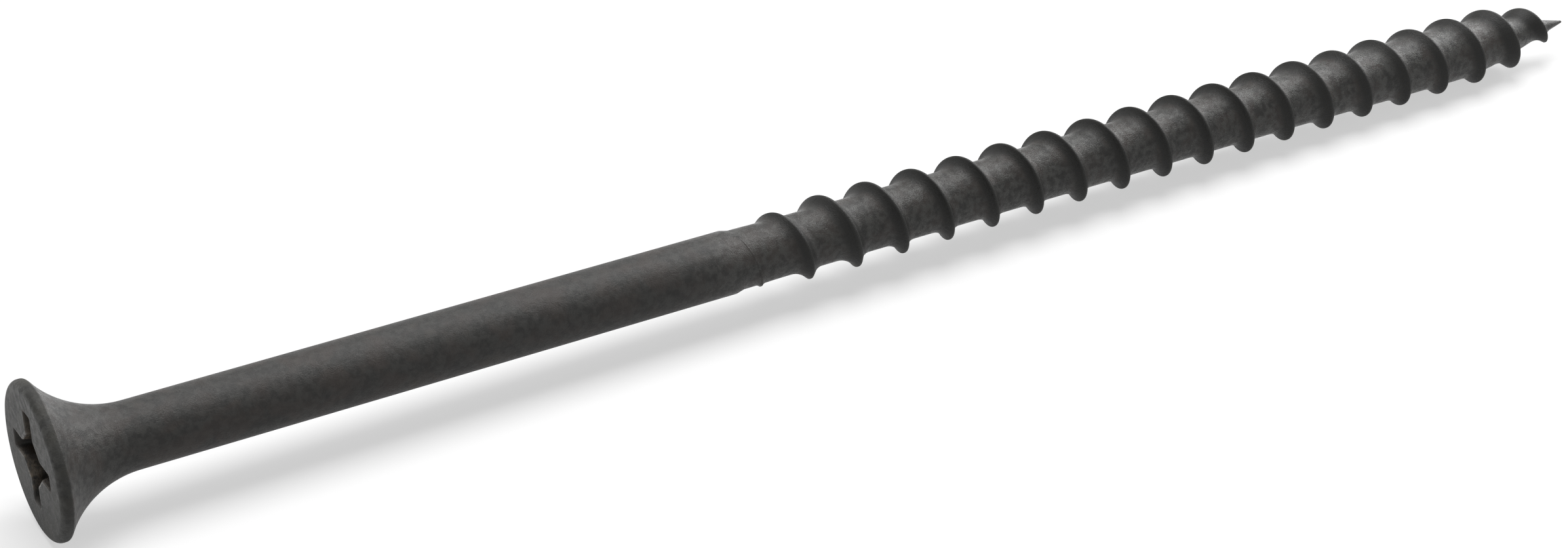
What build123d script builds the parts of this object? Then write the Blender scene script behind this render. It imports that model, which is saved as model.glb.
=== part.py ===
from build123d import *
from math import atan, ceil, cos, degrees, floor, radians, sin, sqrt, tan
import os

# A bugle head drywall screw with a partly threaded shank. All lengths are in millimetres
# and all angles in degrees.
# It is drawn standing on its head, with the face at z = 0 and the tip at z = length. Angles
# round the axis start at local +X, which becomes the underside when the screw is laid down.

# Shank and point
length = 102.0
shank_diameter = 3.62
root_diameter = 3.38
plain_length = 39.6
shoulder_length = 0.5
point_angle = 25.5

# Bugle head
head_diameter = 8.4
face_edge_radius = 0.4
rim_width = 0.2
under_edge_chamfer = 0.12
bugle_radius = 5.4

# Cross recess
recess_span = 5.2
recess_depth = 2.9
wing_width = 0.95
core_width = 2.5
wing_end_draft = 26.5
wing_side_draft = 4.0
core_draft = 9.0
recess_floor_depth = 0.35
recess_turn = -2.0
recess_offset = 0.2

# Right hand thread
thread_diameter = 4.56
pitch = 3.1
crest_width = 0.2
head_flank_angle = 27.0
tip_flank_angle = 30.0
thread_gap = 0.5
thread_start_turn = 252.0
run_in_length = 6.5
end_height = 0.03
crest_taper_length = 7.4
bare_tip_length = 1.1
cone_turns = 1.3
tip_land = 0.05

# Points on each spline of the thread
steps_per_turn = 12
fewest_steps = 3
tangent_step = 0.003
samples_per_turn = 100

shank_radius = shank_diameter / 2
root_radius = root_diameter / 2
head_radius = head_diameter / 2
thread_radius = thread_diameter / 2
rim_end = face_edge_radius + rim_width
shoulder_end = plain_length + shoulder_length
thread_start = shoulder_end + thread_gap
taper_end = length - bare_tip_length
taper_start = taper_end - crest_taper_length

# The last turn stands on a plain cone, which a tangent arc joins to the root.
point_slope = tan(radians(point_angle / 2))
cone_length = bare_tip_length + cone_turns * pitch
point_arc_height = (root_radius - cone_length * point_slope) / tan(radians(point_angle / 4))
point_arc_radius = point_arc_height / sin(radians(point_angle / 2))
point_arc_start = length - cone_length - point_arc_height


def head_and_shank():
    """The bugle head, the plain shank and its shoulder, turned from one half section."""
    face_radius = head_radius - face_edge_radius
    bugle_run = bugle_radius - (head_radius - shank_radius)
    bugle_height = sqrt(bugle_radius**2 - bugle_run**2)
    bugle_sweep = degrees(atan(bugle_height / bugle_run))
    neck = rim_end + bugle_height
    outline = [
        Line((0, 0), (face_radius, 0)),
        CenterArc((face_radius, face_edge_radius), face_edge_radius, 270, 90),
        Line((head_radius, face_edge_radius), (head_radius, rim_end)),
        CenterArc((shank_radius + bugle_radius, neck), bugle_radius, 180 + bugle_sweep, -bugle_sweep),
        Line((shank_radius, neck), (shank_radius, plain_length)),
        Line((shank_radius, plain_length), (root_radius, shoulder_end)),
        Line((root_radius, shoulder_end), (0, shoulder_end)),
        Line((0, shoulder_end), (0, 0)),
    ]
    section = make_face(Plane.XZ * Curve(outline))
    under_edge = section.vertices().sort_by_distance((head_radius, 0, rim_end))[0]
    section = chamfer(under_edge, under_edge_chamfer)
    return revolve(section, Axis.Z)


def recess_section(depth):
    """The outline of the cross recess at a depth below the face."""
    reach = recess_span / 2 - depth * tan(radians(wing_end_draft))
    half_wing = wing_width / 2 - depth * tan(radians(wing_side_draft))
    core = core_width / 2 - depth * tan(radians(core_draft))
    corner = core * sqrt(2) - half_wing
    quarter = [(reach, -half_wing), (reach, half_wing), (corner, half_wing), (half_wing, corner)]
    corners = [Vector(x, y, depth).rotate(Axis.Z, turn) for turn in (0, 90, 180, 270) for x, y in quarter]
    return make_face(Polyline(*corners, close=True))


def cross_recess():
    """The driving recess: four drafted wings round a core, with a shallow pyramid floor."""
    bottom = recess_section(recess_depth)
    walls = loft([recess_section(0), bottom], ruled=True)
    floor_point = Vertex(0, 0, recess_depth + recess_floor_depth)
    recess = walls + loft([bottom, floor_point], ruled=True)
    return Pos(-recess_offset, 0, 0) * Rot(Z=recess_turn) * recess


def core_radius(z):
    """Radius of the body that carries the thread: the root, the point's arc and its cone."""
    if z > length - cone_length:
        return (length - z) * point_slope
    past = max(z - point_arc_start, 0)
    return root_radius - point_arc_radius + sqrt(point_arc_radius**2 - past**2)


def crest_radius(z):
    """Radius of the thread's crest, which grows from the root and rounds off at the point."""
    ungrown = 1 - min(max((z - thread_start) / run_in_length, 0), 1)
    tapered = min(max((z - taper_start) / crest_taper_length, 0), 1)
    height = thread_radius - root_radius - end_height
    return (thread_radius - height * ungrown**2) * sqrt(1 - tapered**2)


def thread_stop():
    """The height at which the rounded crest has sunk to its end height over the point's cone."""
    end_radius = bare_tip_length * point_slope + end_height
    square = (thread_radius / crest_taper_length) ** 2 + point_slope**2
    half = thread_radius**2 / crest_taper_length - end_radius * point_slope
    return taper_end - (half - sqrt(half**2 - square * end_radius**2)) / square


def helix_turn(z):
    """The angle round the axis at which the crest passes height z."""
    return thread_start_turn + 360 * (z - thread_start) / pitch


def ridge_point(corner, z):
    """A corner of the ridge where its crest is at height z, counted 0 to 3 from the head's side."""
    side, flank_angle = (-1, head_flank_angle) if corner < 2 else (1, tip_flank_angle)
    radius = crest_radius(z)
    offset = crest_width / 2
    if corner in (0, 3):
        offset += (radius - core_radius(z)) * tan(radians(flank_angle))
        radius = core_radius(z + side * offset)
    return Vector(radius, 0, z + side * offset).rotate(Axis.Z, helix_turn(z))


def ridge_edge(corner, start, end):
    """The curve that one corner of the ridge follows while the crest climbs from start to end."""
    climb = end - start
    count = max(ceil(steps_per_turn * climb / pitch), fewest_steps)
    steps = [i / count for i in range(count + 1)]
    points = [ridge_point(corner, start + climb * step) for step in steps]
    rises = [ridge_point(corner, z + tangent_step) - ridge_point(corner, z - tangent_step) for z in (start, end)]
    tangents = [rise * (climb / (2 * tangent_step)) for rise in rises]
    return Edge.make_spline(points, tangents=tangents, parameters=steps, scale=False)


def ring_edge(radius, height, start, end):
    """The arc round the axis below or above the stretch of ridge from start to end."""
    return Edge.make_circle(radius, Plane((0, 0, height)), helix_turn(start), helix_turn(end))


def disc(radius, height):
    """A flat round face across the axis."""
    return Face(Wire.make_circle(radius, Plane((0, 0, height))))


def threaded_body():
    """The root with its thread, as one closed skin of ruled strips that wind round the axis."""
    stop = thread_stop()
    last_turn = [stop - pitch * sample / samples_per_turn for sample in range(samples_per_turn)]
    tip_start = max(ridge_point(3, z).Z for z in last_turn) + tip_land
    tip_radius = core_radius(tip_start)
    climbs = [pitch * turn for turn in range(floor((stop - thread_start) / pitch) + 1)]
    stations = sorted([thread_start + climb for climb in climbs] + [stop - climb for climb in climbs])
    spans = list(zip(stations, stations[1:]))
    ridges = [[ridge_edge(corner, *span) for corner in range(4)] for span in spans]
    lower_edges = [ridge[0] for ridge in ridges]
    upper_edges = [ridge[3] for ridge in ridges]
    first_rings = [ring_edge(root_radius, shoulder_end, *span) for span in spans[:2]]
    last_rings = [ring_edge(tip_radius, tip_start, *span) for span in spans[-2:]]
    strips = [strip for ridge in ridges for strip in zip(ridge, ridge[1:])]
    strips += zip(first_rings + upper_edges, lower_edges + last_rings)
    faces = [Face.make_surface_from_curves(*strip) for strip in strips]
    for z in (thread_start, stop):
        faces.append(Face(Wire.make_polygon([ridge_point(corner, z) for corner in range(4)])))
    faces += [disc(root_radius, shoulder_end), disc(tip_radius, tip_start)]
    tip = Cone(tip_radius, 0, length - tip_start, align=(Align.CENTER, Align.CENTER, Align.MIN))
    return Solid(Shell(faces)) + Pos(0, 0, tip_start) * tip


def rest_lean():
    """The lean of the axis when the rim and a crest near the point both touch a table."""
    turns = ceil((taper_end - thread_start) / pitch)
    crests = [thread_start + pitch * (turn - thread_start_turn / 360) for turn in range(1, turns)]
    drops = [(head_radius - crest_radius(z)) / (z + crest_width / 2 - rim_end) for z in crests]
    return degrees(atan(min(drops)))


def laid_down(screw):
    """The screw as it rests on a table, with the middle of its base at the origin."""
    lean = rest_lean()
    slope = radians(lean)
    axis_height = head_radius * cos(slope) + rim_end * sin(slope)
    back = -(head_radius - face_edge_radius) * sin(slope)
    front = length * cos(slope)
    return Pos(-(back + front) / 2, 0, axis_height) * Rot(Y=90 + lean) * screw


drywall_screw = laid_down(head_and_shank() + threaded_body() - cross_recess())
os.makedirs("parts", exist_ok=True)
export_step(drywall_screw, "parts/drywall_screw.step")
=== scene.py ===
"""A long black drywall screw with a bugle head, lying as it comes to rest on a pale floor."""

import logging
import math
from dataclasses import dataclass, field
from enum import Enum

import bmesh
import bpy
from bmesh.types import BMEdge, BMesh, BMFace, BMLayerItem, BMVert
from bpy.types import Light, Material, Node, NodeSocket, NodeTree, Object, ShaderNodeTree
from mathutils import Matrix, Vector

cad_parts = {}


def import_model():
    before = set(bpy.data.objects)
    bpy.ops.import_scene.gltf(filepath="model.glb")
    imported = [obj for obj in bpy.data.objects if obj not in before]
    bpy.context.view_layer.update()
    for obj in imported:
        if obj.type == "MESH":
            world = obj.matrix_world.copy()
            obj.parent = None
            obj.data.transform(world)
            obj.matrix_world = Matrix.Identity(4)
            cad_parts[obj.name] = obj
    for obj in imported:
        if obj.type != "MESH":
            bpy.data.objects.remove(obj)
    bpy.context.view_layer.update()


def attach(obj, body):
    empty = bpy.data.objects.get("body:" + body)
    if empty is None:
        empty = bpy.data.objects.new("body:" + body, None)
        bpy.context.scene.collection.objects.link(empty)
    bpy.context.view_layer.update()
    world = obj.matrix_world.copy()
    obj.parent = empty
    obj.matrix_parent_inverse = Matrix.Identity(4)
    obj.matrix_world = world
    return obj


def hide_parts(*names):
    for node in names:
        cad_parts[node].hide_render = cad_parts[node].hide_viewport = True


log = logging.getLogger("drywall_screw")

# A millimetre in metres: the screw is drawn upright in millimetres and then placed in metres.
MM = 0.001
# Corners that are closer than this, in millimetres, become one.
WELD = 0.00003
# The most that a rounded corner takes of each of its two sides.
HALF_SIDE = 0.49
# The Mix node's sockets for colours, which share their names with its other sockets.
MIX_FACTOR = 0
MIX_COLOURS = (6, 7)
MIX_RESULT = 2
WHITE = (1.0, 1.0, 1.0, 1.0)

Table = tuple[tuple[float, float], ...]
Colour = tuple[float, float, float]
MeshPart = BMVert | BMEdge | BMFace


class Zone(Enum):
    """The zones of the screw that differ in finish, by the name of their material."""

    # Besides the coat, the finishes carry painted light: painted shade on the thread's flanks and in the
    # recess, painted light on the upper side of the head and near the recess's mouth, and a partly painted
    # sheen on the roots.
    OUTSIDE = "black_phosphate"
    RECESS = "recess_phosphate_painted_shade"
    FACE = "face_phosphate"

    @property
    def slot(self) -> int:
        """The zone's place among the screw's materials."""
        return list(Zone).index(self)


def clamped(value: float) -> float:
    """The value, kept between 0 and 1."""
    return min(max(value, 0.0), 1.0)


def along(table: Table, place: float) -> float:
    """Reads a table of places and values, smooth between its lines and level past its ends.

    Args:
        table: Pairs of place and value, in order of place.
        place: The place to read it at.

    Returns:
        The value there.
    """
    for (low, first), (high, second) in zip(table, table[1:]):
        if place <= high:
            share = clamped((place - low) / (high - low))
            return first + (second - first) * share**2 * (3 - 2 * share)
    return table[-1][1]


@dataclass(frozen=True)
class ScrewSizes:
    """The screw's sizes in millimetres and degrees, with lengths counted from the face of the head."""

    length: float = 102.0
    shank_diameter: float = 3.62
    root_diameter: float = 3.38
    plain_length: float = 39.6
    shoulder_length: float = 0.5
    point_angle: float = 25.5
    head_diameter: float = 8.4
    face_edge_radius: float = 0.4
    rim_width: float = 0.2
    under_edge_radius: float = 0.2
    bugle_radius: float = 5.4
    thread_diameter: float = 4.56
    pitch: float = 3.1
    crest_width: float = 0.2
    thread_gap: float = 0.5
    thread_start_turn: float = 252.0
    run_in_length: float = 6.5
    crest_taper_length: float = 7.4
    bare_tip_length: float = 1.1
    cone_turns: float = 1.3

    @property
    def shank_radius(self) -> float:
        """Radius of the plain shank."""
        return self.shank_diameter / 2

    @property
    def root_radius(self) -> float:
        """Radius of the shank between the turns of the thread."""
        return self.root_diameter / 2

    @property
    def head_radius(self) -> float:
        """Radius of the head's rim."""
        return self.head_diameter / 2

    @property
    def thread_radius(self) -> float:
        """Radius over the full crest of the thread."""
        return self.thread_diameter / 2

    @property
    def rim_end(self) -> float:
        """Where the rim ends and the flare begins."""
        return self.face_edge_radius + self.rim_width

    @property
    def shoulder_end(self) -> float:
        """Where the short cone below the plain shank meets the root."""
        return self.plain_length + self.shoulder_length

    @property
    def thread_start(self) -> float:
        """Where the crest begins to grow."""
        return self.shoulder_end + self.thread_gap

    @property
    def taper_end(self) -> float:
        """Where the crest has come down to the axis."""
        return self.length - self.bare_tip_length

    @property
    def cone_slope(self) -> float:
        """How fast the point's cone closes."""
        return math.tan(math.radians(self.point_angle / 2))

    @property
    def cone_length(self) -> float:
        """Length of the point's cone, which carries the last turn."""
        return self.bare_tip_length + self.cone_turns * self.pitch

    def core_radius(self, z: float) -> float:
        """Radius of the body that carries the thread.

        Args:
            z: Distance from the face.

        Returns:
            The root's radius, or that of the point's arc or cone.
        """
        if z > self.length - self.cone_length:
            return max(self.length - z, 0.0) * self.cone_slope
        half = math.radians(self.point_angle / 4)
        arc_height = (self.root_radius - self.cone_length * self.cone_slope) / math.tan(half)
        arc_radius = arc_height / math.sin(2 * half)
        past = max(z - (self.length - self.cone_length - arc_height), 0.0)
        return self.root_radius - arc_radius + math.sqrt(arc_radius**2 - past**2)

    def ungrown(self, z: float) -> float:
        """How much the ridge lacks of its full height at a distance from the face, from 1 to 0."""
        return 1 - clamped((z - self.thread_start) / self.run_in_length)

    def crest_radius(self, z: float) -> float:
        """Radius of the crest, which grows out of the root and rounds off at the point.

        Args:
            z: Distance from the face.

        Returns:
            The radius, which is nothing past the end of the thread.
        """
        taper_start = self.taper_end - self.crest_taper_length
        tapered = clamped((z - taper_start) / self.crest_taper_length)
        full = self.thread_radius - (self.thread_radius - self.root_radius) * self.ungrown(z) ** 2
        return full * math.sqrt(1 - tapered**2)

    def helix_turn(self, z: float) -> float:
        """The angle round the axis, in degrees, at which the crest passes a distance from the face."""
        return self.thread_start_turn + 360 * (z - self.thread_start) / self.pitch

    def rest_lean(self) -> float:
        """How far the axis leans when the rim and a crest near the point touch the floor.

        Returns:
            The angle in radians.
        """
        turns = math.ceil((self.taper_end - self.thread_start) / self.pitch)
        lowest = self.thread_start - self.pitch * self.thread_start_turn / 360
        crests = [lowest + self.pitch * turn for turn in range(1, turns)]
        reach = self.crest_width / 2 - self.rim_end
        return math.atan(min((self.head_radius - self.crest_radius(z)) / (z + reach) for z in crests))

    def placing(self) -> Matrix:
        """The move from the upright drawing in millimetres to the screw at rest in metres.

        Returns:
            The matrix of the move.
        """
        lean = self.rest_lean()
        height = self.head_radius * math.cos(lean) + self.rim_end * math.sin(lean)
        back = -(self.head_radius - self.face_edge_radius) * math.sin(lean)
        front = self.length * math.cos(lean)
        move = Matrix.Translation((-(back + front) / 2, 0, height))
        return Matrix.Scale(MM, 4) @ move @ Matrix.Rotation(math.radians(90) + lean, 4, "Y")


@dataclass(frozen=True)
class RecessSizes:
    """The cross recess, in millimetres and degrees: four drafted wings round a core."""

    span: float = 5.2
    depth: float = 2.9
    wing_width: float = 0.95
    core_width: float = 2.5
    wing_end_draft: float = 26.5
    wing_side_draft: float = 4.0
    core_draft: float = 9.0
    floor_depth: float = 0.35
    turn: float = -2.0
    offset: float = 0.2
    mouth_radius: float = 0.1
    corner_radius: float = 0.14

    def outline(self, depth: float, outset: float) -> list[Vector]:
        """The corners of the recess at a depth, pushed outwards by an outset.

        Args:
            depth: Depth below the face.
            outset: How far each wall is moved outwards.

        Returns:
            Sixteen corners in order round the axis.
        """
        reach = self.span / 2 - depth * math.tan(math.radians(self.wing_end_draft)) + outset
        half = self.wing_width / 2 - depth * math.tan(math.radians(self.wing_side_draft)) + outset
        core = self.core_width / 2 - depth * math.tan(math.radians(self.core_draft)) + outset
        corner = core * math.sqrt(2) - half
        quarter = [(reach, -half), (reach, half), (corner, half), (half, corner)]
        turns = [Matrix.Rotation(math.radians(turn), 2) for turn in (0, 90, 180, 270)]
        return [turn @ Vector(point) for turn in turns for point in quarter]


def rounded(
    before: Vector,
    corner: Vector,
    after: Vector,
    radius: float,
    steps: int,
    most: float = HALF_SIDE,
) -> list[Vector]:
    """The arc that rounds one corner of an outline.

    Args:
        before: The point before the corner.
        corner: The corner itself.
        after: The point after it.
        radius: The arc's radius, which is less where a side is too short for it.
        steps: How many straight steps the arc has.
        most: The share of each side that the arc may take.

    Returns:
        The arc's points, one more than its steps.
    """
    back = before - corner
    ahead = after - corner
    half = back.angle(ahead) / 2
    cut = min(radius / math.tan(half), most * back.length, most * ahead.length)
    first = corner + back.normalized() * cut
    last = corner + ahead.normalized() * cut
    centre = corner + (back.normalized() + ahead.normalized()).normalized() * cut / math.cos(half)
    sweep = math.pi - 2 * half
    if (corner - first).cross(last - corner) < 0:
        sweep = -sweep
    turns = [Matrix.Rotation(sweep * step / steps, 2) for step in range(steps + 1)]
    return [centre + turn @ (first - centre) for turn in turns]


def spin_closed(bm: BMesh, points: list[Vector], start_turn: float, columns: int) -> None:
    """Spins a line of points once round the axis into a skin.

    Args:
        bm: The mesh that the skin is added to.
        points: The line, as radius and distance from the face.
        start_turn: The angle round the axis, in degrees, of the first column.
        columns: How many columns the skin has.
    """
    start = Matrix.Rotation(math.radians(start_turn), 4, "Z")
    corners = [bm.verts.new(start @ Vector((point.x, 0.0, point.y))) for point in points]
    edges = [bm.edges.new(pair) for pair in zip(corners, corners[1:])]
    bmesh.ops.spin(
        bm,
        geom=corners + edges,
        cent=(0, 0, 0),
        axis=(0, 0, 1),
        dvec=(0, 0, 0),
        angle=math.tau,
        steps=columns,
        use_merge=True,
        use_duplicate=False,
    )


@dataclass
class BugleHead:
    """The head with its recess, the flare, the plain shank and the shoulder, as one open skin.

    The hold is the width of the flat strips inside the face's edge and round the mouth of the recess.
    """

    sizes: ScrewSizes
    recess: RecessSizes
    columns: int
    start_turn: float
    edge_steps: int = 8
    under_steps: int = 5
    flare_steps: int = 22
    shank_steps: int = 14
    mouth_steps: int = 4
    corner_steps: int = 3
    wall_steps: int = 6
    floor_steps: int = 3
    hold: float = 0.03

    def half_section(self) -> list[Vector]:
        """The half section from the face's edge to the shoulder's end.

        Returns:
            Points of radius and distance from the face.
        """
        s = self.sizes
        face = s.head_radius - s.face_edge_radius
        points = [Vector((face - self.hold, 0.0))]
        for step in range(self.edge_steps + 1):
            turn = math.radians(90 * step / self.edge_steps)
            edge = Vector((math.sin(turn), 1 - math.cos(turn))) * s.face_edge_radius
            points.append(Vector((face, 0.0)) + edge)
        run = s.bugle_radius - (s.head_radius - s.shank_radius)
        sweep = math.acos(run / s.bugle_radius)
        neck = s.rim_end + s.bugle_radius * math.sin(sweep)
        flare = []
        for step in range(1, self.flare_steps + 1):
            turn = sweep * (1 - step / self.flare_steps)
            out = s.shank_radius + s.bugle_radius * (1 - math.cos(turn))
            flare.append(Vector((out, neck - s.bugle_radius * math.sin(turn))))
        rim_corner = Vector((s.head_radius, s.rim_end))
        points += rounded(points[-1], rim_corner, flare[1], s.under_edge_radius, self.under_steps)
        points += flare[1:]
        for step in range(1, self.shank_steps + 1):
            down = neck + (s.plain_length - neck) * step / self.shank_steps
            points.append(Vector((s.shank_radius, down)))
        points.append(Vector((s.root_radius, s.shoulder_end)))
        return points

    def spin_outside(self, bm: BMesh) -> list[BMEdge]:
        """Spins the half section into the outside of the head and the shank.

        Args:
            bm: The mesh that the skin is added to.

        Returns:
            The ring of edges round the flat face.
        """
        spin_closed(bm, self.half_section(), self.start_turn, self.columns)
        bmesh.ops.remove_doubles(bm, verts=bm.verts[:], dist=WELD)
        inside = self.sizes.head_radius - self.sizes.face_edge_radius
        flat = {vert for vert in bm.verts if vert.co.z < WELD and vert.co.xy.length < inside - WELD}
        return [edge for edge in bm.edges if flat.issuperset(edge.verts)]

    def recess_loop(self, depth: float, outset: float) -> list[Vector]:
        """The recess's outline at a depth, with rounded corners, as points in space.

        Args:
            depth: Depth below the face.
            outset: How far each wall is moved outwards.

        Returns:
            The points in order round the recess.
        """
        corners = self.recess.outline(depth, outset)
        turn = Matrix.Rotation(math.radians(self.recess.turn), 2)
        around = zip(corners[-1:] + corners[:-1], corners, corners[1:] + corners[:1])
        flat = [p for trio in around for p in rounded(*trio, self.recess.corner_radius, self.corner_steps)]
        placed = [turn @ point - Vector((self.recess.offset, 0)) for point in flat]
        return [Vector((point.x, point.y, depth)) for point in placed]

    def sink_recess(self, bm: BMesh) -> list[BMEdge]:
        """Extrudes the recess from its rounded mouth down to its floor.

        Args:
            bm: The mesh that the walls are added to.

        Returns:
            The edges round the mouth, which lie in the face.
        """
        r = self.recess
        levels = [(0.0, r.mouth_radius + self.hold)]
        for step in range(self.mouth_steps + 1):
            turn = math.radians(90 * step / self.mouth_steps)
            levels.append((r.mouth_radius * (1 - math.cos(turn)), r.mouth_radius * (1 - math.sin(turn))))
        for step in range(1, self.wall_steps + 1):
            levels.append((r.mouth_radius + (r.depth - r.mouth_radius) * step / self.wall_steps, 0.0))
        loops = [self.recess_loop(*level) for level in levels]
        centre = Vector((-r.offset, 0.0, r.depth + r.floor_depth))
        for step in range(1, self.floor_steps):
            loops.append([point.lerp(centre, step / self.floor_steps) for point in loops[len(levels) - 1]])
        corners = [bm.verts.new(point) for point in loops[0]]
        mouth = [bm.edges.new(pair) for pair in zip(corners, corners[1:] + corners[:1])]
        ring = mouth
        for loop in loops[1:]:
            made = bmesh.ops.extrude_edge_only(bm, edges=ring)["geom"]
            self.mark_walls(made)
            ring = [e for e in made if isinstance(e, BMEdge)]
            places = [tuple(vert.co) for vert in corners]
            corners = self.in_order([v for v in made if isinstance(v, BMVert)], places)
            for corner, place in zip(corners, loop):
                corner.co = place
        bottom = bmesh.ops.extrude_edge_only(bm, edges=ring)["geom"]
        self.mark_walls(bottom)
        bottom_corners = [v for v in bottom if isinstance(v, BMVert)]
        bmesh.ops.pointmerge(bm, verts=bottom_corners, merge_co=centre)
        return mouth

    @staticmethod
    def mark_walls(made: list[MeshPart]) -> None:
        """Gives freshly extruded faces the finish of the recess.

        Args:
            made: What the extrusion made.
        """
        for face in made:
            if isinstance(face, BMFace):
                face.material_index = Zone.RECESS.slot

    @staticmethod
    def in_order(made: list[BMVert], places: list[tuple[float, ...]]) -> list[BMVert]:
        """Sorts freshly extruded corners into the order of the places that they still lie on."""
        found = {tuple(vert.co): vert for vert in made}
        return [found[place] for place in places]

    def build(self, bm: BMesh) -> None:
        """Adds the head, its recess and the shank to a mesh.

        Args:
            bm: The mesh.
        """
        face_ring = self.spin_outside(bm)
        mouth = self.sink_recess(bm)
        bmesh.ops.triangle_fill(bm, edges=face_ring + mouth, use_beauty=True, normal=(0, 0, -1))


@dataclass
class RolledThread:
    """The root with its right-hand thread and the point, spun along the helix as one open skin.

    The tables pair a distance from the face with a flank's angle in degrees or a change in millimetres.
    """

    sizes: ScrewSizes
    columns: int
    crest_land: float = 0.12
    head_flank: Table = ((41.0, 50.0), (54.0, 24.0), (74.0, 26.0), (84.0, 44.0), (92.0, 50.0))
    tip_flank: Table = ((41.0, 50.0), (54.0, 24.0), (74.0, 24.0), (84.0, 33.0), (92.0, 28.0))
    crest_change: Table = ((52.0, 0.0), (64.0, 0.03), (74.0, 0.03), (92.0, -0.04))
    root_change: Table = ((40.2, 0.0), (43.0, -0.04), (74.0, -0.02), (92.0, 0.07))
    head_fillet: float = 1.3
    tip_fillet: float = 0.8
    fillet_share: float = 0.85
    crest_share: float = 0.5
    crest_round: float = 0.05
    least_height: float = 0.01
    first_sharpness: float = 0.3
    fillet_steps: int = 8
    crest_steps: int = 2
    root_steps: int = 2
    tip_steps: int = 8
    tip_radius: float = 0.09
    ring_gap: float = 0.25

    @property
    def first_crest(self) -> float:
        """Where the helix begins, half a pitch before the shoulder's end."""
        return self.sizes.shoulder_end - self.sizes.pitch / 2

    @property
    def middle(self) -> float:
        """The middle of the threaded length."""
        return (self.sizes.shoulder_end + self.sizes.taper_end) / 2

    @property
    def climb(self) -> float:
        """How far the helix climbs from one column to the next."""
        return self.sizes.pitch / self.columns

    @property
    def last_ring(self) -> float:
        """The distance of the ring that ends the thread, a whole number of columns from the first."""
        wanted = self.sizes.taper_end + self.ring_gap - self.sizes.shoulder_end
        return self.sizes.shoulder_end + round(wanted / self.climb) * self.climb

    def core_radius(self, z: float) -> float:
        """Radius of the root as rolled, which is thicker towards the point.

        Args:
            z: Distance from the face.

        Returns:
            The radius.
        """
        return self.sizes.core_radius(z) + along(self.root_change, z)

    def crest_height(self, z: float) -> float:
        """Height of the crest over the root as rolled, which is lower towards the point.

        Args:
            z: Distance from the face.

        Returns:
            The height, which is never quite nothing.
        """
        crest = self.sizes.crest_radius(z) + along(self.crest_change, z)
        return max(crest - self.core_radius(z), self.least_height)

    def foot_share(self, flank: Vector) -> float:
        """How much of a flank its fillet may take, which leaves the crest's rounding its room."""
        return min(self.fillet_share, 1 - min(self.crest_round / flank.length, self.crest_share))

    def ridge_section(self, z: float) -> list[Vector]:
        """The section from half a pitch before the crest to half a pitch past it.

        Args:
            z: Where the crest is.

        Returns:
            Points of distance along the axis from the crest, and height over the root.
        """
        half = self.sizes.pitch / 2
        height = self.crest_height(z)
        land = self.crest_land / 2 * (1 - self.first_sharpness * self.sizes.ungrown(z))
        before = land + height * math.tan(math.radians(along(self.head_flank, z)))
        after = land + height * math.tan(math.radians(along(self.tip_flank, z)))
        head_side = ((-half, 0), (-before, 0), (-land, height))
        tip_side = ((land, height), (after, 0), (half, 0))
        corners = [Vector(point) for point in head_side + tip_side]
        trios = zip(corners, corners[1:], corners[2:])
        head_foot = (self.head_fillet, self.fillet_steps, self.foot_share(corners[2] - corners[1]))
        tip_foot = (self.tip_fillet, self.fillet_steps, self.foot_share(corners[4] - corners[3]))
        crest = (self.crest_round, self.crest_steps)
        around = [(*trio, *form) for trio, form in zip(trios, (head_foot, crest, crest, tip_foot))]
        middle = [point for form in around for point in rounded(*form)]
        shares = [step / (self.root_steps + 1) for step in range(self.root_steps + 1)]
        first_root = [corners[0].lerp(middle[0], share) for share in shares]
        last_root = [corners[-1].lerp(middle[-1], share) for share in reversed(shares)]
        return first_root + middle + last_root

    def column_places(self, column: int) -> list[tuple[Vector, float]]:
        """Where the corners of one column of the thread go.

        Args:
            column: The number of steps along the helix.

        Returns:
            The place and the height over the root of each row.
        """
        s = self.sizes
        crest_z = self.first_crest + column * self.climb
        height = self.crest_height(crest_z)
        turn = math.radians(s.helix_turn(crest_z))
        places = []
        for past, over in self.ridge_section(crest_z):
            z = min(max(crest_z + past, s.shoulder_end), self.last_ring)
            if z != crest_z + past:
                over = 0.0
            core = self.core_radius(z)
            out = core + (self.core_radius(crest_z) - core) * over / height + over
            places.append((Vector((out * math.cos(turn), out * math.sin(turn), z)), over))
        return places

    def spin_helix(self, bm: BMesh, section: list[Vector], row_layer: BMLayerItem) -> None:
        """Spins a section along the helix, one turn in steps and then turn by turn.

        Args:
            bm: The mesh that the skin is added to.
            section: The section, as distance along the axis and height over the root.
            row_layer: The layer that keeps each corner's number in the section, counted from one.
        """
        start = Matrix.Rotation(math.radians(self.sizes.helix_turn(self.first_crest)), 4, "Z")
        corners = []
        for row, (past, over) in enumerate(section):
            flat = Vector((self.sizes.root_radius + over, 0.0, self.first_crest + past))
            corners.append(bm.verts.new(start @ flat))
            corners[-1][row_layer] = row + 1
        edges = [bm.edges.new(pair) for pair in zip(corners, corners[1:])]
        turns = math.ceil((self.last_ring - self.sizes.shoulder_end) / self.sizes.pitch)
        bmesh.ops.spin(
            bm,
            geom=corners + edges,
            cent=(0, 0, 0),
            axis=(0, 0, 1),
            dvec=(0, 0, self.climb),
            angle=math.tau,
            steps=self.columns,
            use_merge=False,
            use_duplicate=False,
        )
        one_turn = [face for face in bm.faces if all(vert[row_layer] for vert in face.verts)]
        bmesh.ops.spin(
            bm,
            geom=one_turn,
            cent=(0, 0, 0),
            axis=(0, 0, 1),
            dvec=(0, 0, self.sizes.pitch),
            angle=math.tau * turns,
            steps=turns,
            use_merge=False,
            use_duplicate=True,
        )

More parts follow.
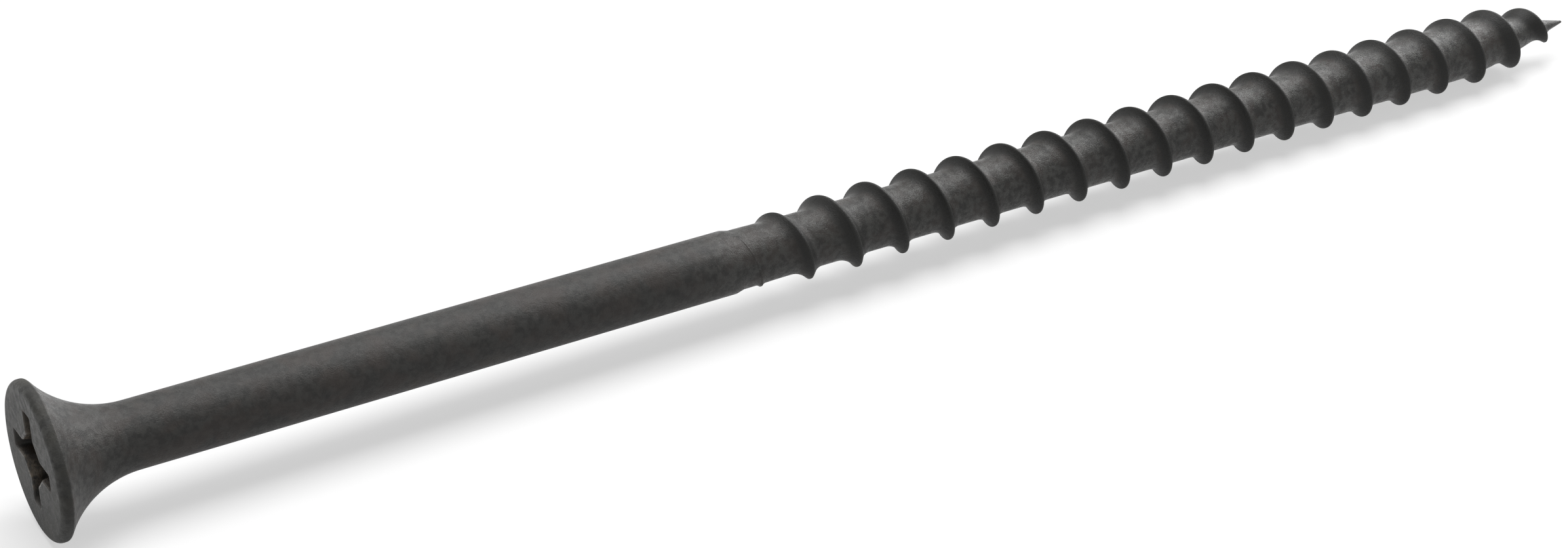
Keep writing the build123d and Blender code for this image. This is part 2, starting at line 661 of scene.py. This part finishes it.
    def build(self, bm: BMesh) -> None:
        """Adds the threaded length and the point to a mesh.

        Args:
            bm: The mesh, which has a float layer for the height over the root.
        """
        row_layer = bm.verts.layers.int.new("row")
        ridge_layer = bm.verts.layers.float["ridge"]
        section = self.ridge_section(self.middle)
        self.spin_helix(bm, section, row_layer)
        columns = {}
        for vert in [vert for vert in bm.verts if vert[row_layer]]:
            row = vert[row_layer] - 1
            column = round((vert.co.z - self.first_crest - section[row].x) / self.climb)
            if column not in columns:
                columns[column] = self.column_places(column)
            vert.co, vert[ridge_layer] = columns[column][row]
        self.spin_tip(bm)
        bm.verts.layers.int.remove(row_layer)

    def spin_tip(self, bm: BMesh) -> None:
        """Adds the bare needle tip, with its end rounded.

        Args:
            bm: The mesh that the tip is added to.
        """
        s = self.sizes
        ring_radius = self.core_radius(self.last_ring)
        ball = s.length - self.tip_radius
        points = [Vector((ring_radius, self.last_ring))]
        lean = math.radians(s.point_angle / 2)
        for step in range(self.tip_steps):
            turn = lean + (math.pi / 2 - lean) * step / self.tip_steps
            points.append(Vector((math.cos(turn), math.sin(turn))) * self.tip_radius + Vector((0.0, ball)))
        points.append(Vector((0.0, s.length)))
        spin_closed(bm, points, s.helix_turn(self.first_crest), self.columns)


def add_node(tree: NodeTree, kind: str, **inputs: object) -> Node:
    """Adds a node and fills or links its inputs.

    Args:
        tree: The node tree.
        kind: The node's type.
        inputs: Values or output sockets by input name, with spaces written as underscores.

    Returns:
        The new node.
    """
    node = tree.nodes.new(kind)
    for name, value in inputs.items():
        socket = node.inputs[name.replace("_", " ")]
        if isinstance(value, NodeSocket):
            tree.links.new(value, socket)
        else:
            socket.default_value = value
    return node


def ramp(tree: NodeTree, value: NodeSocket, low: float, high: float) -> NodeSocket:
    """Spreads one stretch of a value over 0 to 1, with smooth ends.

    Args:
        tree: The node tree.
        value: The value.
        low: What becomes 0.
        high: What becomes 1.

    Returns:
        The spread value.
    """
    node = tree.nodes.new("ShaderNodeMapRange")
    node.interpolation_type = "SMOOTHSTEP"
    tree.links.new(value, node.inputs["Value"])
    node.inputs["From Min"].default_value = low
    node.inputs["From Max"].default_value = high
    return node.outputs["Result"]


def math_node(tree: NodeTree, operation: str, *values: NodeSocket | float) -> NodeSocket:
    """Works out one value from others.

    Args:
        tree: The node tree.
        operation: What is done with them.
        values: The values, each a socket or a number.

    Returns:
        The result.
    """
    node = tree.nodes.new("ShaderNodeMath")
    node.operation = operation
    for socket, value in zip(node.inputs, values):
        if isinstance(value, NodeSocket):
            tree.links.new(value, socket)
        else:
            socket.default_value = value
    return node.outputs["Value"]


def mix_colours(
    tree: NodeTree,
    factor: NodeSocket,
    first: NodeSocket | Colour,
    second: NodeSocket | Colour,
) -> NodeSocket:
    """Mixes two colours.

    Args:
        tree: The node tree.
        factor: How much of the second colour shows.
        first: The first colour, a socket or red, green and blue.
        second: The second colour.

    Returns:
        The mixed colour.
    """
    node = tree.nodes.new("ShaderNodeMix")
    node.data_type = "RGBA"
    tree.links.new(factor, node.inputs[MIX_FACTOR])
    for place, colour in zip(MIX_COLOURS, (first, second)):
        if isinstance(colour, NodeSocket):
            tree.links.new(colour, node.inputs[place])
        else:
            node.inputs[place].default_value = (*colour, 1.0)
    return node.outputs[MIX_RESULT]


@dataclass(frozen=True)
class Mottle:
    """One noise mask of a coat, and the noise values that become 0 and 1."""

    low: float
    high: float
    detail: float
    roughness: float
    distortion: float = 0.0

    def build(self, group: ShaderNodeTree, place: NodeSocket, scale: NodeSocket) -> NodeSocket:
        """Adds the mask to a node group.

        Args:
            group: The group.
            place: The place on the piece.
            scale: How many times the pattern fits in a metre.

        Returns:
            The mask.
        """
        node = add_node(
            group,
            "ShaderNodeTexNoise",
            Vector=place,
            Scale=scale,
            Detail=self.detail,
            Roughness=self.roughness,
            Distortion=self.distortion,
        )
        return ramp(group, node.outputs["Fac"], self.low, self.high)


@dataclass(frozen=True)
class CoatGrain:
    """The crystals and stains of a phosphate coat, as a node group that each finish places."""

    name: str = "coat_grain"
    stain_scale: float = 0.31
    patches: Mottle = Mottle(low=0.36, high=0.64, detail=4.0, roughness=0.6)
    crystals: Mottle = Mottle(low=0.3, high=0.7, detail=3.0, roughness=0.7)
    stains: Mottle = Mottle(low=0.4, high=0.68, detail=3.0, roughness=0.5, distortion=0.4)

    def build(self) -> ShaderNodeTree:
        """Makes the group.

        Returns:
            The group, with a place, the sizes of patches and crystals, and three masks.
        """
        group = bpy.data.node_groups.new(self.name, "ShaderNodeTree")
        group.interface.new_socket("Place", in_out="INPUT", socket_type="NodeSocketVector")
        for label in ("Patch Scale", "Crystal Scale"):
            group.interface.new_socket(label, in_out="INPUT", socket_type="NodeSocketFloat")
        for label in ("Patches", "Crystals", "Stains"):
            group.interface.new_socket(label, in_out="OUTPUT", socket_type="NodeSocketFloat")
        inside = group.nodes.new("NodeGroupInput").outputs
        outside = group.nodes.new("NodeGroupOutput").inputs
        place = inside["Place"]
        wide = math_node(group, "MULTIPLY", inside["Patch Scale"], self.stain_scale)
        patches = self.patches.build(group, place, inside["Patch Scale"])
        crystals = self.crystals.build(group, place, inside["Crystal Scale"])
        stains = self.stains.build(group, place, wide)
        group.links.new(patches, outside["Patches"])
        group.links.new(crystals, outside["Crystals"])
        group.links.new(stains, outside["Stains"])
        return group


@dataclass(frozen=True)
class PhosphateFinish:
    """A black phosphate coat, which is lighter and smoother where wearing has rubbed it or where it was
    rolled, and which also carries painted light: painted highlights, a partly painted sheen on the roots,
    and painted shade on the flanks and in the recess.

    Sizes and the depth of its relief are in millimetres, and heights are shares of the ridge's full height.
    """

    zone: Zone
    dark: Colour
    light: Colour
    stain: Colour
    # The lighter colour of rubbed coat and of painted light.
    worn_and_lit: Colour
    smooth: float
    rough: float
    # Painted shade: a darker colour up the thread's flanks and over its crests, where they face away from
    # the lamps.
    flank: Colour = (0.012, 0.0119, 0.011)
    crest: Colour = (0.023, 0.023, 0.0215)
    patch_size: float = 0.4
    crystal_size: float = 0.07
    specular: float = 0.22
    bump_strength: float = 0.5
    bump_depth: float = 0.018
    worn_gloss: float = 0.3
    # The least share of the mask of rubbed coat and painted light, in its darkest patches.
    worn_and_lit_least: float = 0.4
    stain_share: float = 0.5
    # Ridge heights over which the painted flank shade comes in.
    flank_shade_heights: tuple[float, float] = (0.12, 0.45)
    crest_heights: tuple[float, float] = (0.82, 1.0)

    @staticmethod
    def attribute(tree: NodeTree, name: str) -> NodeSocket:
        """Reads one of the mesh's attributes.

        Args:
            tree: The material's node tree.
            name: The attribute's name.

        Returns:
            Its value on the surface.
        """
        node = tree.nodes.new("ShaderNodeAttribute")
        node.attribute_name = name
        return node.outputs["Fac"]

    def colour(self, tree: NodeTree, coat: Node, worn_and_lit: NodeSocket) -> NodeSocket:
        """Mixes the colours of the coat, with painted shade on the flanks and the lighter colour of rubbed
        coat and painted light.

        Args:
            tree: The material's node tree.
            coat: The node with the coat's crystals and stains.
            worn_and_lit: How far rubbing and painted light lighten the coat.

        Returns:
            The colour on the surface.
        """
        ridge = self.attribute(tree, "ridge")
        patches = coat.outputs["Patches"]
        mixed = mix_colours(tree, patches, self.dark, self.light)
        stained = math_node(tree, "MULTIPLY", coat.outputs["Stains"], self.stain_share)
        mixed = mix_colours(tree, stained, mixed, self.stain)
        # Painted shade on the flanks of the thread.
        mixed = mix_colours(tree, ramp(tree, ridge, *self.flank_shade_heights), mixed, self.flank)
        # Lighter where the coat is rubbed and rolled, and where light is painted in.
        mixed = mix_colours(tree, math_node(tree, "MULTIPLY", worn_and_lit, patches), mixed, self.worn_and_lit)
        rolled = ramp(tree, ridge, *self.crest_heights)
        top = math_node(tree, "MULTIPLY", rolled, coat.outputs["Crystals"])
        return mix_colours(tree, top, mixed, self.crest)

    def build(self, grain: ShaderNodeTree) -> Material:
        """Makes the material.

        Args:
            grain: The group with the coat's crystals and stains.

        Returns:
            The finished material.
        """
        material = bpy.data.materials.new(self.zone.value)
        material.use_nodes = True
        tree = material.node_tree
        shader = tree.nodes["Principled BSDF"]
        place = tree.nodes.new("ShaderNodeTexCoord").outputs["Object"]
        coat = tree.nodes.new("ShaderNodeGroup")
        coat.node_tree = grain
        tree.links.new(place, coat.inputs["Place"])
        coat.inputs["Patch Scale"].default_value = 1 / (self.patch_size * MM)
        coat.inputs["Crystal Scale"].default_value = 1 / (self.crystal_size * MM)
        patches = coat.outputs["Patches"]
        crystals = coat.outputs["Crystals"]
        uneven = math_node(tree, "MULTIPLY_ADD", patches, 1 - self.worn_and_lit_least, self.worn_and_lit_least)
        # The mask of rubbed coat and painted light, in patches.
        worn_and_lit = math_node(tree, "MULTIPLY", self.attribute(tree, "wear_and_light"), uneven)
        tree.links.new(self.colour(tree, coat, worn_and_lit), shader.inputs["Base Color"])
        gloss = tree.nodes.new("ShaderNodeMapRange")
        tree.links.new(crystals, gloss.inputs["Value"])
        gloss.inputs["To Min"].default_value = self.smooth
        gloss.inputs["To Max"].default_value = self.rough
        smoothed = math_node(tree, "MULTIPLY", worn_and_lit, self.worn_gloss)
        rough = math_node(tree, "SUBTRACT", gloss.outputs["Result"], smoothed)
        tree.links.new(rough, shader.inputs["Roughness"])
        depth = self.bump_depth * MM
        relief = math_node(tree, "ADD", crystals, patches)
        bump = add_node(tree, "ShaderNodeBump", Strength=self.bump_strength, Distance=depth, Height=relief)
        tree.links.new(bump.outputs["Normal"], shader.inputs["Normal"])
        shader.inputs["Specular IOR Level"].default_value = self.specular
        return material


@dataclass
class DrywallScrew:
    """The whole screw: one piece of steel, made as one closed mesh.

    The tables of wearing and painted light pair a distance from the face, a height on the ridge or a radius
    with the share there.
    """

    sizes: ScrewSizes = field(default_factory=ScrewSizes)
    recess: RecessSizes = field(default_factory=RecessSizes)
    columns: int = 96
    # Its lighter colour is rubbed coat with a partly painted sheen on the thread's roots, and a painted
    # highlight on the upper side of the flare.
    outside: PhosphateFinish = PhosphateFinish(
        Zone.OUTSIDE,
        dark=(0.015, 0.0147, 0.0138),
        light=(0.0295, 0.029, 0.0272),
        stain=(0.034, 0.0265, 0.023),
        worn_and_lit=(0.046, 0.046, 0.043),
        smooth=0.38,
        rough=0.54,
    )
    # Painted shade and painted light in the recess: its coat is darker than the outside's, and its lighter
    # brown colour is painted light near the mouth.
    inside: PhosphateFinish = PhosphateFinish(
        Zone.RECESS,
        dark=(0.012, 0.0115, 0.01),
        light=(0.02, 0.018, 0.015),
        stain=(0.035, 0.02, 0.012),
        worn_and_lit=(0.1, 0.08, 0.058),
        smooth=0.4,
        rough=0.6,
    )
    # Its lighter colour is painted light on the upper side of the face.
    face: PhosphateFinish = PhosphateFinish(
        Zone.FACE,
        dark=(0.013, 0.013, 0.0118),
        light=(0.025, 0.0248, 0.0228),
        stain=(0.028, 0.0265, 0.021),
        worn_and_lit=(0.05, 0.0495, 0.046),
        smooth=0.52,
        rough=0.68,
        specular=0.25,
        worn_gloss=0.14,
    )
    # Painted highlight on the upper side of the flare, fading away from the rim.
    flare_painted_highlight: Table = ((0.6, 0.75), (6.2, 0.0))
    # Rubbed, rolled coat from just before the thread to the point, lighter partly as painted sheen.
    thread_wear_and_sheen: Table = ((35.5, 0.0), (40.5, 0.65), (60.0, 0.8), (95.0, 0.9))
    # Painted light on the upper side of the face, fading over its rounded edge.
    face_painted_light: Table = ((0.05, 1.0), (0.35, 0.0))
    # The roots' rubbed coat and partly painted sheen, fading up the ridge.
    ridge_wear_and_sheen: Table = ((0.0, 1.0), (0.22, 0.0))
    # Painted light in the recess, strongest at the mouth and near the core.
    recess_painted_light_depth: Table = ((0.0, 1.0), (1.6, 0.0))
    recess_painted_light_reach: Table = ((1.4, 1.0), (1.9, 0.0))

    def build(self) -> Object:
        """Makes the screw's mesh and places it as it rests.

        Returns:
            The screw.
        """
        thread = RolledThread(self.sizes, self.columns)
        head = BugleHead(self.sizes, self.recess, self.columns, self.sizes.helix_turn(thread.first_crest))
        bm = bmesh.new()
        bm.verts.layers.float.new("ridge")
        # A layer for the lightening by wearing and by painted light.
        bm.loops.layers.float.new("wear_and_light")
        head.build(bm)
        thread.build(bm)
        bmesh.ops.remove_doubles(bm, verts=bm.verts[:], dist=WELD)
        bmesh.ops.recalc_face_normals(bm, faces=bm.faces[:])
        self.mark_wear_and_light(bm)
        bmesh.ops.transform(bm, matrix=self.sizes.placing(), verts=bm.verts[:])
        mesh = bpy.data.meshes.new("drywall_screw_skin")
        bm.to_mesh(mesh)
        bm.free()
        screw = bpy.data.objects.new("screw", mesh)
        bpy.context.scene.collection.objects.link(screw)
        return screw

    def mark_wear_and_light(self, bm: BMesh) -> None:
        """Marks the face of the head, the height on the ridge, and how far each corner is lightened by
        wearing and by painted light.

        Args:
            bm: The upright screw's mesh, with its ridge layer and its layer of wearing and painted light.
        """
        ridge_layer = bm.verts.layers.float["ridge"]
        wear_and_light_layer = bm.loops.layers.float["wear_and_light"]
        full = self.sizes.thread_radius - self.sizes.root_radius
        for vert in bm.verts:
            vert[ridge_layer] = min(vert[ridge_layer] / full, 1.0)
        for face in bm.faces:
            face.smooth = True
            above_rim = all(vert.co.z < self.sizes.rim_end - WELD for vert in face.verts)
            if above_rim and face.material_index == Zone.OUTSIDE.slot:
                face.material_index = Zone.FACE.slot
            zone = list(Zone)[face.material_index]
            for loop in face.loops:
                loop[wear_and_light_layer] = self.wear_and_light_at(zone, loop.vert.co, loop.vert[ridge_layer])

    def wear_and_light_at(self, zone: Zone, place: Vector, ridge: float) -> float:
        """How far the coat is lightened at a place of the upright screw: painted light on the upper side of
        the face and the flare and near the recess's mouth, and rubbed coat with a partly painted sheen on
        the roots.

        Args:
            zone: The zone that the place is in.
            place: The place.
            ridge: Height on the ridge, from 0 at the root to 1.

        Returns:
            The share, from 0 to 1.
        """
        # Painted light from above: the upper side of the face and of the flare is made lighter.
        lit_upper_side = clamped(0.5 - place.x / self.sizes.head_diameter)
        if zone is Zone.FACE:
            return lit_upper_side * along(self.face_painted_light, place.z)
        if zone is Zone.RECESS:
            # Painted light near the mouth of the recess and round its core.
            return along(self.recess_painted_light_depth, place.z) * along(self.recess_painted_light_reach, place.xy.length)
        # Painted highlight on the upper side of the flare.
        flare = lit_upper_side * along(self.flare_painted_highlight, place.z)
        # The thread's roots: rubbed, rolled coat, lighter partly as painted sheen.
        return flare + along(self.thread_wear_and_sheen, place.z) * along(self.ridge_wear_and_sheen, ridge)

    def dress(self, screw: Object) -> None:
        """Gives the screw its finishes and ties it to the frame.

        Args:
            screw: The screw, whose faces are marked with their zones.
        """
        grain = CoatGrain().build()
        for finish in sorted((self.outside, self.inside, self.face), key=lambda finish: finish.zone.slot):
            screw.data.materials.append(finish.build(grain))
        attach(screw, "root")
        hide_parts("drywall_screw")


class Side(Enum):
    """Where each lamp stands, as a direction from the screw."""

    ABOVE = (0.05, 0.2, 1.0)
    TIP = (1.0, 0.25, 0.6)


@dataclass(frozen=True)
class SoftLamp:
    """A large square lamp that looks at the screw, with lengths in metres and its power in watts."""

    side: Side
    distance: float
    size: float
    power: float

    def build(self) -> None:
        """Makes the lamp and points it at the screw."""
        light: Light = bpy.data.lights.new(f"lamp_{self.side.name.lower()}", "AREA")
        light.energy = self.power
        light.size = self.size
        lamp = bpy.data.objects.new(light.name, light)
        bpy.context.scene.collection.objects.link(lamp)
        way = Vector(self.side.value).normalized()
        lamp.location = way * self.distance
        lamp.rotation_euler = way.to_track_quat("Z", "Y").to_euler()


@dataclass(frozen=True)
class Studio:
    """The pale floor, the lamps, the white surroundings and the camera.

    Lengths are in metres, the camera's angles in degrees, and its lens and sensor in millimetres. From one
    distance to another, the floor turns from its own white share to full white.
    """

    lamps: tuple[SoftLamp, ...] = (
        SoftLamp(Side.ABOVE, distance=0.6, size=0.4, power=4.3),
        SoftLamp(Side.TIP, distance=0.6, size=0.4, power=3.6),
    )
    surroundings: float = 0.24
    floor_size: float = 4.0
    floor_shade: float = 0.68
    floor_roughness: float = 0.9
    floor_white: float = 0.55
    white_from: float = 0.15
    white_full: float = 0.5
    camera_place: tuple[float, float, float] = (-0.08286, -0.12372, 0.08911)
    camera_tilt: float = 58.82
    camera_turn: float = -31.29
    lens: float = 69.34
    sensor: float = 36.0
    clip_start: float = 0.005

    def background_rays(self, tree: NodeTree) -> NodeSocket:
        """A mask of the rays that see the background: from the camera, a reflection or glass.

        Args:
            tree: The node tree.

        Returns:
            The mask.
        """
        rays = tree.nodes.new("ShaderNodeLightPath").outputs
        mirrored = math_node(tree, "MAXIMUM", rays["Is Glossy Ray"], rays["Is Transmission Ray"])
        return math_node(tree, "MAXIMUM", mirrored, rays["Is Camera Ray"])

    def build_world(self) -> None:
        """Makes the even white surroundings."""
        world = bpy.data.worlds.new("white_tent")
        bpy.context.scene.world = world
        world.use_nodes = True
        tree = world.node_tree
        sky = tree.nodes["Background"]
        sky.inputs["Color"].default_value = WHITE
        strength = tree.nodes.new("ShaderNodeMapRange")
        tree.links.new(self.background_rays(tree), strength.inputs["Value"])
        strength.inputs["To Min"].default_value = self.surroundings
        strength.inputs["To Max"].default_value = 1.0
        tree.links.new(strength.outputs["Result"], sky.inputs["Strength"])

    def build_floor(self) -> None:
        """Makes the pale floor, which keeps the screw's shadow."""
        bm = bmesh.new()
        bmesh.ops.create_grid(bm, x_segments=1, y_segments=1, size=self.floor_size / 2)
        mesh = bpy.data.meshes.new("floor")
        bm.to_mesh(mesh)
        bm.free()
        floor = bpy.data.objects.new("floor", mesh)
        bpy.context.scene.collection.objects.link(floor)
        material = bpy.data.materials.new("pale_floor")
        material.use_nodes = True
        tree = material.node_tree
        paint = tree.nodes["Principled BSDF"]
        paint.inputs["Base Color"].default_value = (self.floor_shade,) * 3 + (1.0,)
        paint.inputs["Roughness"].default_value = self.floor_roughness
        paint.inputs["Specular IOR Level"].default_value = 0.0
        white = add_node(tree, "ShaderNodeEmission", Color=WHITE, Strength=1.0)
        place = tree.nodes.new("ShaderNodeTexCoord").outputs["Object"]
        reach = add_node(tree, "ShaderNodeVectorMath", Vector=place)
        reach.operation = "LENGTH"
        far = ramp(tree, reach.outputs["Value"], self.white_from, self.white_full)
        whiter = math_node(tree, "MULTIPLY_ADD", far, 1 - self.floor_white, self.floor_white)
        share = math_node(tree, "MULTIPLY", self.background_rays(tree), whiter)
        blend = tree.nodes.new("ShaderNodeMixShader")
        for source, socket in zip((share, paint.outputs["BSDF"], white.outputs["Emission"]), blend.inputs):
            tree.links.new(source, socket)
        tree.links.new(blend.outputs["Shader"], tree.nodes["Material Output"].inputs["Surface"])
        floor.data.materials.append(material)

    def build_camera(self) -> None:
        """Makes the camera at the photograph's viewpoint."""
        data = bpy.data.cameras.new("camera")
        data.sensor_fit = "HORIZONTAL"
        data.sensor_width = self.sensor
        data.lens = self.lens
        data.clip_start = self.clip_start
        camera = bpy.data.objects.new("camera", data)
        bpy.context.scene.collection.objects.link(camera)
        camera.location = self.camera_place
        camera.rotation_euler = (math.radians(self.camera_tilt), 0.0, math.radians(self.camera_turn))
        bpy.context.scene.camera = camera

    def build(self) -> None:
        """Makes the whole studio."""
        self.build_world()
        self.build_floor()
        for lamp in self.lamps:
            lamp.build()
        self.build_camera()
        bpy.context.scene.view_settings.view_transform = "Standard"


def main() -> None:
    """Builds the screw and the studio round the frame."""
    logging.basicConfig(level=logging.INFO)
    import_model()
    builder = DrywallScrew()
    screw = builder.build()
    builder.dress(screw)
    log.info("%s has %d faces", screw.name, len(screw.data.polygons))
    log.info("%s has %d finishes", screw.name, len(screw.data.materials))
    studio = Studio()
    studio.build()
    log.info("the studio has %d lamps", len(studio.lamps))


if __name__ == "__main__":
    main()
